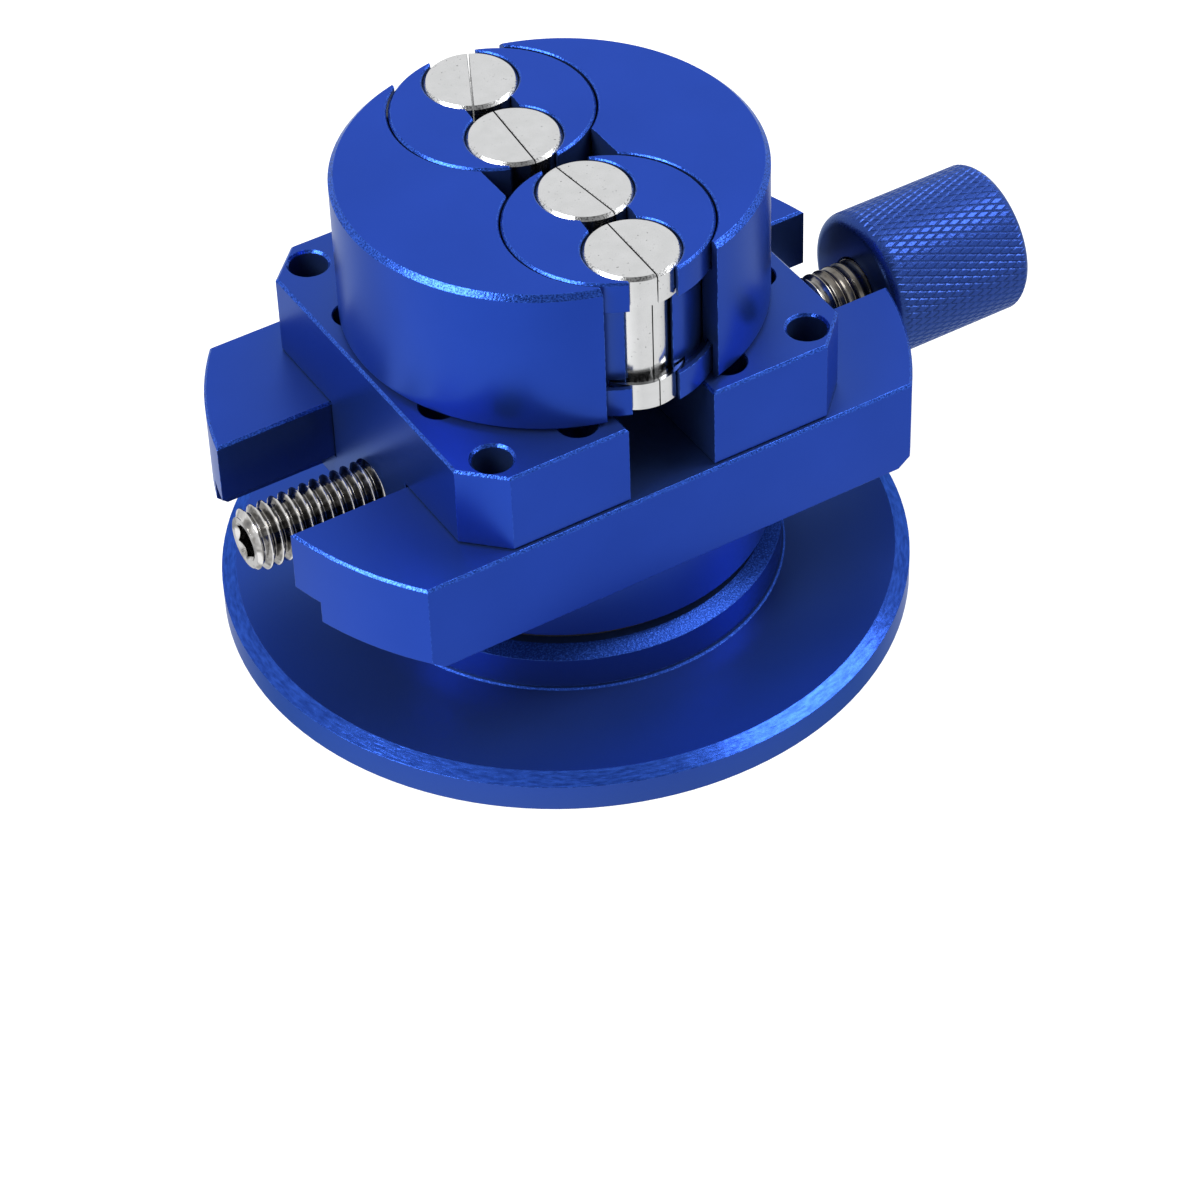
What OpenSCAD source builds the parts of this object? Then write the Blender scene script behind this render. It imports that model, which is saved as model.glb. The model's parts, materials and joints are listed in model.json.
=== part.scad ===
// Swivel table vise with self-aligning jaws. Round nested half discs turn in
// one another, so that the jaws close on work of any outline.
// Origin: centre of the base underside, on the swivel axis. +Z is up and +X
// runs along the bed towards the knob.

/* [Base] */
// Diameter of the round base
base_d = 108; // [100:1:150]
// Height of the upright wall of the base rim
rim_h = 4.5; // [3.5:0.1:8]
// Height of the sloped edge on the base rim
rim_slope_h = 1.2; // [0.4:0.1:2]
// Width of the sloped edge on the base rim
rim_slope_w = 2.3; // [0.5:0.1:4]
// Diameter of the raised hub
hub_d = 68; // [66:0.5:84]
// Height of the hub above the flange
hub_h = 7; // [6:0.1:12]
// Height of the sloped edge on the hub
hub_slope_h = 1.3; // [0.4:0.1:3]
// Width of the sloped edge on the hub
hub_slope_w = 2.5; // [0.5:0.1:3]
// Size of the small slope at the foot of the hub
hub_foot = 0.5; // [0.2:0.1:1.5]

/* [Swivel pivot] */
// Diameter of the bed journal that turns in the base
journal_d = 24; // [18:0.5:30]
// Radial play of the journal in its bore
journal_play = 0.05; // [0.02:0.01:0.1]
// How far the journal stops short of the counterbore
journal_short = 0.6; // [0.3:0.1:1]
// Diameter of the thrust washer
thrust_d = 60; // [50:0.5:62]
// Thickness of the thrust washer
thrust_t = 3.3; // [2:0.1:5]
// Depth of the seat of the thrust washer in the hub
thrust_seat = 0.8; // [0.4:0.1:1.5]
// Play between the thrust washer and the bed
swivel_play = 0.1; // [0.05:0.01:0.3]
// Diameter of the counterbore under the base
pit_d = 36; // [33:0.5:46]
// Depth of the counterbore under the base
pit_h = 8.2; // [7.8:0.1:9]
// Outer diameter of the disc spring
spring_d = 31.5; // [30:0.5:33]
// Inner diameter of the disc spring
spring_hole_d = 16.3; // [10:0.1:20]
// Thickness of the disc spring
spring_t = 1.2; // [0.8:0.1:1.4]
// Height of the disc spring at work
spring_h = 1.7; // [1.5:0.1:2]
// Outer diameter of the pivot washer
pivot_washer_d = 30; // [24:0.5:32]
// Thickness of the pivot washer
pivot_washer_t = 1.9; // [1:0.1:2]
// Thread diameter of the pivot bolt
pivot_bolt_d = 8; // [6:0.5:9]
// Head diameter of the pivot bolt
pivot_head_d = 13; // [12:0.5:18]
// Head height of the pivot bolt
pivot_head_h = 4; // [3:0.1:4]
// Length of the pivot bolt below its head
pivot_bolt_l = 16; // [12:0.5:18]

/* [Bed] */
// Diameter of the arcs that end the bed
bed_d = 107.2; // [100:0.1:130]
// Width of the bed
bed_w = 66.6; // [60:0.1:80]
// Height of the bed bar
bed_h = 15.7; // [14:0.1:22]
// Diameter of the neck under the bed
neck_d = 65; // [62:0.5:80]
// Height of the neck under the bed
neck_h = 9.8; // [8:0.1:16]
// Width of the slot in the bed
slot_w = 22.8; // [22:0.1:30]
// Width of the undercut below the slot
undercut_w = 33; // [31:0.1:40]
// Height of the undercut below the slot
undercut_h = 5.4; // [4:0.1:6]
// Slope at the lower edge of the bed ends
bed_end_slope = 1.6; // [0.5:0.1:3]

/* [Lead screw] */
// Outer diameter of the thread
screw_d = 10; // [8:0.1:10.4]
// Advance of each carriage for one turn
screw_pitch = 1.75; // [1:0.05:2.5]
// Height of the screw axis over the bed underside
screw_lift = 6.6; // [6:0.1:7.5]
// Radial play of the screw in a carriage
screw_play = 0.05; // [0.02:0.01:0.1]
// How far the near end of the screw stands out of the bed
screw_out = 1; // [0.5:0.1:6]
// Width across flats of the hexagon socket
socket_af = 5; // [3:0.1:6]
// Depth of the hexagon socket
socket_h = 6; // [3:0.1:10]
// Diameter of the journal at the middle of the screw
yoke_journal_d = 7; // [5:0.1:8]

/* [Yoke] */
// Thickness of the yoke along the screw
yoke_l = 6.2; // [5:0.1:9]
// Height of the yoke
yoke_h = 13.4; // [12.5:0.1:14.5]
// Side play of the yoke in the slot
yoke_side = 0.4; // [0.1:0.1:1]
// End play of the screw on each side of the yoke
yoke_end_play = 0.3; // [0.1:0.05:0.5]
// Distance of the two yoke screws from the middle
yoke_screw_y = 7.6; // [7:0.1:8]
// Thread diameter of the yoke screws
yoke_screw_d = 3; // [2:0.1:3.5]
// Head diameter of the yoke screws
yoke_head_d = 5.4; // [4:0.1:5.6]
// Length of the yoke screws below their heads
yoke_screw_l = 18; // [14:0.5:20]

/* [Knob] */
// Diameter of the knob
knob_d = 24.4; // [18:0.1:26]
// Length of the knob
knob_l = 25.1; // [20:0.1:50]
// How far the knob stands clear of the bed
knob_gap = 1; // [0.5:0.1:10]
// Depth of the screw in the knob
knob_seat = 18; // [15:0.5:19.5]
// Radius of the edge of the knob towards the bed
knob_round = 2; // [0.5:0.1:4]
// Slope at the outer edge of the knob
knob_slope = 0.7; // [0.2:0.1:2]
// Diameter of the set screw in the knob
set_screw_d = 5; // [3:0.1:5]
// Length of the set screw in the knob
set_screw_l = 5.5; // [4:0.1:6]

/* [Carriages] */
// Distance of the outer face of a carriage from the middle
carriage_out = 33; // [31:0.1:34]
// Distance of the inner face of a carriage from the middle
carriage_in = 7.3; // [5.5:0.1:9]
// Width of a carriage
carriage_w = 65; // [64:0.1:72]
// Height of a carriage block
carriage_h = 13.3; // [12:0.1:20]
// Size of the corner cuts of a carriage
corner_cut = 5.9; // [1:0.1:7]
// Clearance of the carriage on the bed faces
slide_gap = 0.3; // [0.1:0.05:0.4]
// Diameter of the pin holes at the corners
pin_hole_d = 6; // [4:0.1:7]
// Depth of the pin holes at the corners
pin_hole_h = 11; // [6:0.5:11.5]
// Distance of the pin holes from the middle along the bed
pin_hole_x = 27; // [26.5:0.1:28]
// Distance of the pin holes from the middle across the bed
pin_hole_y = 27.2; // [26.5:0.1:28]
// Diameter of the ring holes round the jaws
ring_hole_d = 6; // [3:0.1:6]
// Depth of the ring holes
ring_hole_h = 7; // [4:0.5:8]
// Distance of the ring holes from the middle
ring_hole_r = 30.2; // [29.5:0.1:31]
// Angle of a ring hole from the bed direction
ring_hole_angle = 25; // [24:0.5:27]
// Diameter of the jaw screws
jaw_screw_d = 4; // [3:0.1:4.5]
// Head diameter of the jaw screws
jaw_head_d = 7; // [6:0.1:7.6]
// Head height of the jaw screws
jaw_head_h = 3.6; // [3:0.1:4]
// Distance of the jaw screws from the middle along the bed
jaw_screw_x = 21; // [20:0.1:22]
// Distance of the jaw screws from the middle across the bed
jaw_screw_y = 15; // [14.5:0.1:16]

/* [Jaws] */
// Diameter of the outer jaw arcs
jaw_d = 62.8; // [62:0.1:66]
// Height of the jaws
jaw_h = 24.6; // [20:0.1:40]
// Distance of the middle of a jaw arc from the closing plane
jaw_shift = 1; // [0:0.1:1.5]
// Distance of the jaw noses from the closing plane
jaw_nose = 9.5; // [9:0.1:10.5]
// Slope on the upper and lower edge of a jaw
jaw_slope = 0.8; // [0.3:0.1:1.5]

/* [Rockers] */
// Diameter of the rockers
rocker_d = 30.8; // [30.4:0.1:31.6]
// Distance of a rocker axis from the middle across the bed
rocker_y = 16.25; // [16.1:0.05:17]
// Distance of the rocker noses from the closing plane
rocker_nose = 3.8; // [3:0.1:4.5]
// Clearance between a rocker and the carriage top
rocker_gap = 0.3; // [0.2:0.05:0.5]
// Turn of the rockers as they rest
rocker_turn = -6.5; // [-20:0.5:20]
// Slope on the edges of the rockers
rocker_slope = 0.35; // [0.1:0.05:0.6]

/* [Pads] */
// Diameter of the pads
pad_d = 14.4; // [13.6:0.1:14.8]
// Distance of a pad axis from the rocker axis
pad_y = 7.85; // [7.75:0.05:8]
// Distance of a pad face from the closing plane
pad_face = 0.1; // [0.1:0.05:0.6]
// Slope on the edges of the pads
pad_slope = 0.5; // [0.2:0.05:0.8]
// Turn of pad 1 in its rocker as it rests
pad_turn_1 = -20.5; // [-35:0.5:35]
// Turn of pad 2 in its rocker as it rests
pad_turn_2 = 1.5; // [-35:0.5:35]
// Turn of pad 3 in its rocker as it rests
pad_turn_3 = 12; // [-35:0.5:35]
// Turn of pad 4 in its rocker as it rests
pad_turn_4 = 4.5; // [-35:0.5:35]

/* [Arc rails] */
// Height of the flange above and below each groove
flange_h = 5.1; // [4:0.1:7]
// Depth of the throat of a rocker groove
rocker_throat = 0.7; // [0.5:0.05:0.9]
// Full depth of a rocker groove
rocker_groove = 2; // [1.8:0.05:2.1]
// Depth of the throat of a pad groove
pad_throat = 0.6; // [0.4:0.05:0.7]
// Full depth of a pad groove
pad_groove = 1.7; // [1.5:0.05:1.8]
// Height of the lips that hold the rails
rail_lip = 0.9; // [0.6:0.05:1.2]
// Clearance round the rails and the rockers
rail_gap = 0.3; // [0.1:0.05:0.3]
// Clearance round the pads in their pockets
pad_gap = 0.12; // [0.08:0.01:0.25]
// Slope on the rims of the pockets
pocket_slope = 0.22; // [0.1:0.02:0.5]

/* [Hidden] */
$fn = 96;

// Overrun of every cut past the face that it opens
over = 1;
// Break of the plain machined edges
edge_break = 0.4;
// Radial play of a screw in its thread or hole
thread_play = 0.02;
// Clearance round a screw head or a bolt shank
head_play = 0.2;
// Play between the disc spring and the pivot washer
spring_play = 0.1;
// Width of the flat lands of the disc spring
spring_land = 0.5;
// Running play of the screw journal in the yoke
yoke_play = 0.05;
// Air left past the end of a blind screw hole
drill_past = 1.5;
// Width and depth of the pivot bolt socket as a share of shank and head
bolt_socket_share = 0.6;
// Width and depth of the other small sockets as a share of head or screw
small_socket_share = 0.5;
// Length of a jaw screw in its jaw as a share of the jaw height
jaw_screw_share = 0.33;
// Slope at the near end of the screw as a share of the thread pitch
end_slope_share = 0.51;
// How deep the heads of the yoke screws are sunk
yoke_head_sunk = 2;

blue = "#2F4BB0";
steel = "#C9CCD0";
pad_grey = "#D4D6D8";
dark_steel = "#55585E";
black = "#17181B";

// Heights of the main faces
flange_top = rim_h + rim_slope_h;
hub_top = flange_top + hub_h;
thrust_bottom = hub_top - thrust_seat;
neck_bottom = thrust_bottom + thrust_t + swivel_play;
bed_bottom = neck_bottom + neck_h;
bed_top = bed_bottom + bed_h;
screw_z = bed_bottom + screw_lift;
block_bottom = bed_top + slide_gap;
carriage_top = block_bottom + carriage_h;
jaw_top = carriage_top + jaw_h;
rocker_bottom = carriage_top + rocker_gap;
rocker_h = jaw_top - rocker_bottom;

// The stack below the pivot
washer_top = pit_h - spring_h - spring_play;
head_top = washer_top - pivot_washer_t;
bolt_end = head_top + pivot_bolt_l;

// Ends of the screw and the knob
screw_near = -bed_d / 2 - screw_out;
screw_slope = screw_pitch * end_slope_share;
knob_near = bed_d / 2 + knob_gap;
screw_far = knob_near + knob_seat;
knob_far = knob_near + knob_l;
groove_half = yoke_l / 2 + yoke_end_play;

// The yoke and the jaw screws
yoke_w = slot_w - 2 * yoke_side;
yoke_top = bed_bottom + yoke_h;
yoke_head_h = yoke_screw_d;
yoke_head_seat = yoke_top - yoke_head_sunk;
jaw_screw_in = jaw_h * jaw_screw_share;
jaw_screw_l = carriage_h - jaw_head_h - head_play + jaw_screw_in;

// Radius and half height of the grooves and rails
rocker_r = rocker_d / 2;
pad_r = pad_d / 2;
waist_half = rocker_h / 2 - flange_h;

// Turns of the pads in their rockers, from the far pad to the near one
pad_turns = [pad_turn_1, pad_turn_2, pad_turn_3, pad_turn_4];

// Sloped cut along a straight upper edge at height z, from p to q, with the
// solid on the left of the way
module edge_cut(p, q, z, size = edge_break) {
    translate([p[0], p[1], z])
        rotate([0, 0, atan2(q[1] - p[1], q[0] - p[0])])
            translate([-over, 0, 0])
                rotate([90, 0, 90])
                    linear_extrude(norm(q - p) + 2 * over)
                        polygon([
                            [size + over, over], [-over, over],
                            [-over, -size - over]
                        ]);
}

// Round hole from height z upwards, with a sloped rim at its upper end
module drilled(d, z, h, rim = edge_break) {
    translate([0, 0, z])
        rotate_extrude()
            polygon([
                [0, 0], [d / 2, 0], [d / 2, h - rim],
                [d / 2 + rim + over, h + over], [0, h + over]
            ]);
}

// Six-sided socket of width af and depth h, open upwards at height zero
module socket(af, h) {
    translate([0, 0, -h])
        cylinder(d = af / cos(30), h = h + over, $fn = 6);
}

// Round member of radius r with a waist groove that holds a rail
module arc_member(r, throat, groove, slope) {
    mid = rocker_h / 2;
    lip = waist_half + rail_lip;
    rotate_extrude()
        polygon([
            [0, 0], [r - slope, 0], [r, slope],
            [r, mid - waist_half], [r - throat, mid - waist_half],
            [r - throat, mid - lip], [r - groove, mid - lip],
            [r - groove, mid + lip], [r - throat, mid + lip],
            [r - throat, mid + waist_half], [r, mid + waist_half],
            [r, rocker_h - slope], [r - slope, rocker_h], [0, rocker_h]
        ]);
}

// The space that such a member needs in its carrier, which leaves the rail
module arc_pocket(r, throat, groove, gap) {
    mid = rocker_h / 2;
    slope = pocket_slope;
    wall = r + gap;
    neck = r - throat - rail_gap;
    head = r - groove + rail_gap;
    half = waist_half - rail_gap;
    lip = waist_half + rail_lip - rail_gap;
    rotate_extrude()
        polygon([
            [0, -over], [wall, -over],
            [wall, mid - half], [neck, mid - half],
            [neck, mid - lip], [head, mid - lip],
            [head, mid + lip], [neck, mid + lip],
            [neck, mid + half], [wall, mid + half],
            [wall, rocker_h - slope], [wall + slope + over, rocker_h + over],
            [0, rocker_h + over]
        ]);
}

// Everything beyond the plane x = face, as wide as needed
module beyond(face, reach) {
    translate([face, -reach, -over])
        cube([reach, 2 * reach, jaw_h + 2 * over]);
}

module base_plate() {
    color(blue)
        difference() {
            rotate_extrude()
                polygon([
                    [0, 0], [base_d / 2, 0], [base_d / 2, rim_h],
                    [base_d / 2 - rim_slope_w, flange_top],
                    [hub_d / 2 + hub_foot, flange_top],
                    [hub_d / 2, flange_top + hub_foot],
                    [hub_d / 2, hub_top - hub_slope_h],
                    [hub_d / 2 - hub_slope_w, hub_top], [0, hub_top]
                ]);
            translate([0, 0, thrust_bottom])
                cylinder(d = thrust_d + 2 * thread_play, h = thrust_seat + over);
            translate([0, 0, -over])
                cylinder(d = journal_d, h = hub_top + 2 * over);
            translate([0, 0, -over])
                cylinder(d = pit_d, h = pit_h + over);
        }
}

module thrust_washer() {
    color(black)
        translate([0, 0, thrust_bottom])
            difference() {
                cylinder(d = thrust_d, h = thrust_t);
                translate([0, 0, -over])
                    cylinder(d = journal_d, h = thrust_t + 2 * over);
            }
}

// Cone ring that bears on the base with its outer land
module disc_spring() {
    outer = spring_d / 2;
    inner = spring_hole_d / 2;
    color(dark_steel)
        translate([0, 0, pit_h - spring_h])
            rotate_extrude()
                polygon([
                    [inner, 0], [inner + spring_land, 0],
                    [outer, spring_h - spring_t], [outer, spring_h],
                    [outer - spring_land, spring_h], [inner, spring_t]
                ]);
}

module pivot_washer() {
    color(steel)
        translate([0, 0, head_top])
            difference() {
                cylinder(d = pivot_washer_d, h = pivot_washer_t);
                translate([0, 0, -over])
                    cylinder(d = pivot_bolt_d + 2 * head_play,
                             h = pivot_washer_t + 2 * over);
            }
}

module pivot_bolt() {
    color(dark_steel)
        difference() {
            union() {
                translate([0, 0, head_top - pivot_head_h])
                    cylinder(d = pivot_head_d, h = pivot_head_h);
                translate([0, 0, head_top - pivot_head_h])
                    cylinder(d = pivot_bolt_d, h = pivot_head_h + pivot_bolt_l);
            }
            translate([0, 0, head_top - pivot_head_h])
                mirror([0, 0, 1])
                    socket(pivot_bolt_d * bolt_socket_share,
                           pivot_head_h * bolt_socket_share);
        }
}

// Bar with arc ends, its slot and undercut, and the round neck and journal
module bed() {
    r = bed_d / 2;
    color(blue)
        difference() {
            union() {
                difference() {
                    intersection() {
                        rotate_extrude()
                            polygon([
                                [0, bed_bottom],
                                [r - bed_end_slope, bed_bottom],
                                [r, bed_bottom + bed_end_slope],
                                [r, bed_top - edge_break],
                                [r - edge_break, bed_top], [0, bed_top]
                            ]);
                        translate([-r, -bed_w / 2, bed_bottom])
                            cube([bed_d, bed_w, bed_h]);
                    }
                    translate([-r - over, -slot_w / 2, bed_bottom - over])
                        cube([bed_d + 2 * over, slot_w, bed_h + 2 * over]);
                    translate([-r - over, -undercut_w / 2, bed_bottom - over])
                        cube([bed_d + 2 * over, undercut_w, undercut_h + over]);
                }
                translate([0, 0, neck_bottom])
                    cylinder(d = neck_d, h = neck_h);
                translate([0, 0, pit_h + journal_short])
                    cylinder(d = journal_d - 2 * journal_play,
                             h = neck_bottom - pit_h - journal_short + over);
            }
            translate([0, 0, pit_h + journal_short - over])
                cylinder(d = pivot_bolt_d + 2 * thread_play,
                         h = bolt_end + drill_past - pit_h - journal_short + over);
            for (side = [-1, 1])
                translate([0, side * yoke_screw_y,
                           yoke_head_seat - yoke_screw_l - drill_past])
                    cylinder(d = yoke_screw_d + 2 * thread_play,
                             h = yoke_screw_l + drill_past);
            for (y = [-bed_w / 2, slot_w / 2])
                edge_cut([-r, y], [r, y], bed_top);
            for (y = [-slot_w / 2, bed_w / 2])
                edge_cut([r, y], [-r, y], bed_top);
        }
}

// Bridge over the screw journal that holds the screw along its axis
module screw_yoke() {
    color(steel)
        difference() {
            translate([-yoke_l / 2, -yoke_w / 2, bed_bottom])
                cube([yoke_l, yoke_w, yoke_h]);
            translate([0, 0, screw_z])
                rotate([0, 90, 0])
                    cylinder(d = yoke_journal_d + 2 * yoke_play,
                             h = yoke_l + 2 * over, center = true);
            translate([-yoke_l / 2 - over, -yoke_journal_d / 2 - yoke_play,
                       bed_bottom - over])
                cube([yoke_l + 2 * over, yoke_journal_d + 2 * yoke_play,
                      screw_lift + over]);
            for (side = [-1, 1])
                translate([0, side * yoke_screw_y, 0]) {
                    translate([0, 0, bed_bottom - over])
                        cylinder(d = yoke_screw_d + 2 * head_play,
                                 h = yoke_h + 2 * over);
                    translate([0, 0, yoke_head_seat])
                        cylinder(d = yoke_head_d + 2 * head_play,
                                 h = yoke_head_sunk + over);
                }
            for (side = [-1, 1])
                edge_cut([side * yoke_l / 2, side * yoke_w / 2],
                         [-side * yoke_l / 2, side * yoke_w / 2], yoke_top);
        }
}

// Socket head screw that points down, with its head seat at height zero
module cap_screw(d, head_d, head_h, l) {
    difference() {
        union() {
            cylinder(d = head_d, h = head_h);
            translate([0, 0, -l])
                cylinder(d = d, h = l + head_h / 2);
        }
        translate([0, 0, head_h])
            socket(head_d * small_socket_share, head_h * small_socket_share);
    }
}

module yoke_screws() {
    color(dark_steel)
        for (side = [-1, 1])
            translate([0, side * yoke_screw_y, yoke_head_seat])
                cap_screw(yoke_screw_d, yoke_head_d, yoke_head_h, yoke_screw_l);
}

// Screw along +X, with the yoke journal at the middle
module lead_screw() {
    r = screw_d / 2;
    neck = yoke_journal_d / 2;
    color(steel)
        translate([0, 0, screw_z])
            rotate([0, 90, 0])
                difference() {
                    rotate_extrude()
                        polygon([
                            [0, screw_near], [r - screw_slope, screw_near],
                            [r, screw_near + screw_slope],
                            [r, -groove_half], [neck, -groove_half],
                            [neck, groove_half], [r, groove_half],
                            [r, screw_far], [0, screw_far]
                        ]);
                    translate([0, 0, screw_near])
                        mirror([0, 0, 1])
                            socket(socket_af, socket_h);
                }
}

module knob() {
    r = knob_d / 2;
    set_x = knob_near + knob_seat / 2;
    corner = [for (a = [0 : 15 : 90])
        [r - knob_round * (1 - sin(a)), knob_near + knob_round * (1 - cos(a))]];
    color(blue)
        difference() {
            translate([0, 0, screw_z])
                rotate([0, 90, 0])
                    rotate_extrude()
                        polygon(concat([[0, knob_near]], corner, [
                            [r, knob_far - knob_slope],
                            [r - knob_slope, knob_far], [0, knob_far]
                        ]));
            translate([knob_near - over, 0, screw_z])
                rotate([0, 90, 0])
                    cylinder(d = screw_d + 2 * thread_play, h = knob_seat + over);
            translate([set_x, 0, screw_z - r - over])
                cylinder(d = set_screw_d + 2 * thread_play, h = r + over);
        }
}

module knob_set_screw() {
    set_x = knob_near + knob_seat / 2;
    set_bottom = screw_z - screw_d / 2 - thread_play - set_screw_l;
    color(dark_steel)
        translate([set_x, 0, set_bottom])
            difference() {
                cylinder(d = set_screw_d, h = set_screw_l);
                mirror([0, 0, 1])
                    socket(set_screw_d * small_socket_share,
                           set_screw_l * small_socket_share);
            }
}

// Block with cut corners, stem and foot, on the side of the knob
module carriage() {
    half = carriage_w / 2;
    stem_w = slot_w - 2 * slide_gap;
    foot_w = undercut_w - 2 * slide_gap;
    foot_bottom = bed_bottom + slide_gap;
    foot_h = undercut_h - 2 * slide_gap;
    length = carriage_out - carriage_in;
    outline = [
        [carriage_in, -half], [carriage_out - corner_cut, -half],
        [carriage_out, corner_cut - half], [carriage_out, half - corner_cut],
        [carriage_out - corner_cut, half], [carriage_in, half]
    ];
    difference() {
        union() {
            translate([0, 0, block_bottom])
                linear_extrude(carriage_h)
                    polygon(outline);
            translate([carriage_in, -stem_w / 2, foot_bottom])
                cube([length, stem_w, block_bottom - foot_bottom + edge_break]);
            translate([carriage_in, -foot_w / 2, foot_bottom])
                cube([length, foot_w, foot_h]);
        }
        for (i = [0 : len(outline) - 1])
            edge_cut(outline[i], outline[(i + 1) % len(outline)], carriage_top);
        translate([0, 0, screw_z])
            rotate([0, 90, 0])
                cylinder(d = screw_d + 2 * screw_play, h = carriage_out + over);
        for (side = [-1, 1]) {
            translate([pin_hole_x, side * pin_hole_y, 0])
                drilled(pin_hole_d, carriage_top - pin_hole_h, pin_hole_h);
            for (a = [ring_hole_angle, 90 - ring_hole_angle])
                rotate([0, 0, side * a])
                    translate([ring_hole_r, 0, 0])
                        drilled(ring_hole_d, carriage_top - ring_hole_h,
                                ring_hole_h, edge_break / 2);
            translate([jaw_screw_x, side * jaw_screw_y, block_bottom - over]) {
                cylinder(d = jaw_screw_d + 2 * head_play,
                         h = carriage_h + 2 * over);
                cylinder(d = jaw_head_d + 2 * head_play,
                         h = jaw_head_h + head_play + over);
            }
        }
    }
}

module carriage_right() {
    color(blue)
        carriage();
}

module carriage_left() {
    color(blue)
        mirror([1, 0, 0])
            carriage();
}

// Half disc with the pockets and rails of its two rockers
module jaw() {
    r = jaw_d / 2;
    difference() {
        translate([0, 0, carriage_top])
            intersection() {
                translate([jaw_shift, 0, 0])
                    rotate_extrude()
                        polygon([
                            [0, 0], [r - jaw_slope, 0], [r, jaw_slope],
                            [r, jaw_h - jaw_slope], [r - jaw_slope, jaw_h],
                            [0, jaw_h]
                        ]);
                beyond(jaw_nose, jaw_d);
            }
        for (side = [-1, 1]) {
            translate([0, side * rocker_y, rocker_bottom])
                arc_pocket(rocker_r, rocker_throat, rocker_groove, rail_gap);
            translate([jaw_screw_x, side * jaw_screw_y, carriage_top - over])
                cylinder(d = jaw_screw_d + 2 * thread_play,
                         h = over + jaw_screw_in + drill_past);
        }
    }
}

module jaw_right() {
    color(blue)
        jaw();
}

module jaw_left() {
    color(blue)
        mirror([1, 0, 0])
            jaw();
}

// The two screws that hold a jaw down from below
module jaw_screws() {
    for (side = [-1, 1])
        translate([jaw_screw_x, side * jaw_screw_y,
                   block_bottom + jaw_head_h + head_play])
            mirror([0, 0, 1])
                cap_screw(jaw_screw_d, jaw_head_d, jaw_head_h, jaw_screw_l);
}

module jaw_screws_right() {
    color(dark_steel)
        jaw_screws();
}

module jaw_screws_left() {
    color(dark_steel)
        mirror([1, 0, 0])
            jaw_screws();
}

// Half disc that opens towards -X, with the pockets of its two pads
module rocker_half() {
    difference() {
        intersection() {
            arc_member(rocker_r, rocker_throat, rocker_groove, rocker_slope);
            beyond(rocker_nose, rocker_d);
        }
        for (side = [-1, 1])
            translate([0, side * pad_y, 0])
                arc_pocket(pad_r, pad_throat, pad_groove, pad_gap);
    }
}

// One rocker: row is 1 at the back and -1 at the front, half is 1 at the knob
module rocker(row, half) {
    color(blue)
        translate([0, row * rocker_y, rocker_bottom])
            rotate([0, 0, rocker_turn + (half < 0 ? 180 : 0)])
                rocker_half();
}

module rocker_left_rear() { rocker(1, -1); }
module rocker_left_front() { rocker(-1, -1); }
module rocker_right_rear() { rocker(1, 1); }
module rocker_right_front() { rocker(-1, 1); }

// Half disc with a flat face that grips the work
module pad_half() {
    difference() {
        intersection() {
            arc_member(pad_r, pad_throat, pad_groove, pad_slope);
            beyond(pad_face, pad_d);
        }
        edge_cut([pad_face, pad_d], [pad_face, -pad_d], rocker_h, pad_face);
    }
}

// One pad: index counts from the back, half is 1 on the side of the knob
module pad(index, half) {
    row = index < 3 ? 1 : -1;
    side = index % 2 == 1 ? 1 : -1;
    color(pad_grey)
        translate([0, row * rocker_y, rocker_bottom])
            rotate([0, 0, rocker_turn])
                translate([0, side * pad_y, 0])
                    rotate([0, 0, pad_turns[index - 1] + (half < 0 ? 180 : 0)])
                        pad_half();
}

module pad_left_1() { pad(1, -1); }
module pad_left_2() { pad(2, -1); }
module pad_left_3() { pad(3, -1); }
module pad_left_4() { pad(4, -1); }
module pad_right_1() { pad(1, 1); }
module pad_right_2() { pad(2, 1); }
module pad_right_3() { pad(3, 1); }
module pad_right_4() { pad(4, 1); }

base_plate();
thrust_washer();
disc_spring();
pivot_washer();
pivot_bolt();
bed();
screw_yoke();
yoke_screws();
lead_screw();
knob();
knob_set_screw();
carriage_left();
jaw_left();
jaw_screws_left();
carriage_right();
jaw_right();
jaw_screws_right();
rocker_left_rear();
rocker_left_front();
rocker_right_rear();
rocker_right_front();
pad_left_1();
pad_left_2();
pad_left_3();
pad_left_4();
pad_right_1();
pad_right_2();
pad_right_3();
pad_right_4();
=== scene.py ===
"""Looks of the swivel table vise: finishes, screw thread, knurl, studio and camera."""

import json
import math

import bmesh
import bpy
from mathutils import Matrix, Vector


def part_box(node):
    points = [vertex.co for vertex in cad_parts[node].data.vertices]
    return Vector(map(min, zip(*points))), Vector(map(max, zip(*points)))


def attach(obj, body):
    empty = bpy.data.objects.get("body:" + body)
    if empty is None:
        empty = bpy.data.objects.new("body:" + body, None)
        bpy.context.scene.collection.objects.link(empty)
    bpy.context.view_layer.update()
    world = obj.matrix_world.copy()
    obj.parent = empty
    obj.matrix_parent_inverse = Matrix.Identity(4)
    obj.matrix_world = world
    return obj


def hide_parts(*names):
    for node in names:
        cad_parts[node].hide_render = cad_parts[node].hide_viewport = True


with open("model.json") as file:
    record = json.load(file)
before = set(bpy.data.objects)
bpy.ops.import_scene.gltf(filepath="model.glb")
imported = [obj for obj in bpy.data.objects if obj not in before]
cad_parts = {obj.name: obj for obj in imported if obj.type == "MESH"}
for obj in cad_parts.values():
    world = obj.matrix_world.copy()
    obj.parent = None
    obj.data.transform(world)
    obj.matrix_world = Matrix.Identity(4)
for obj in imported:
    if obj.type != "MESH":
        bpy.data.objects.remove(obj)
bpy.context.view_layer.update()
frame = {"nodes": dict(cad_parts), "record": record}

MM = 0.001
TURN = 2 * math.pi
# Corners of a plain ring, turns of a thread or knurl made beyond its cuts, and reach of a cut
RING_COLUMNS = 96
SPARE_TURNS = 2
CUT_REACH = 1e-5

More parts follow.
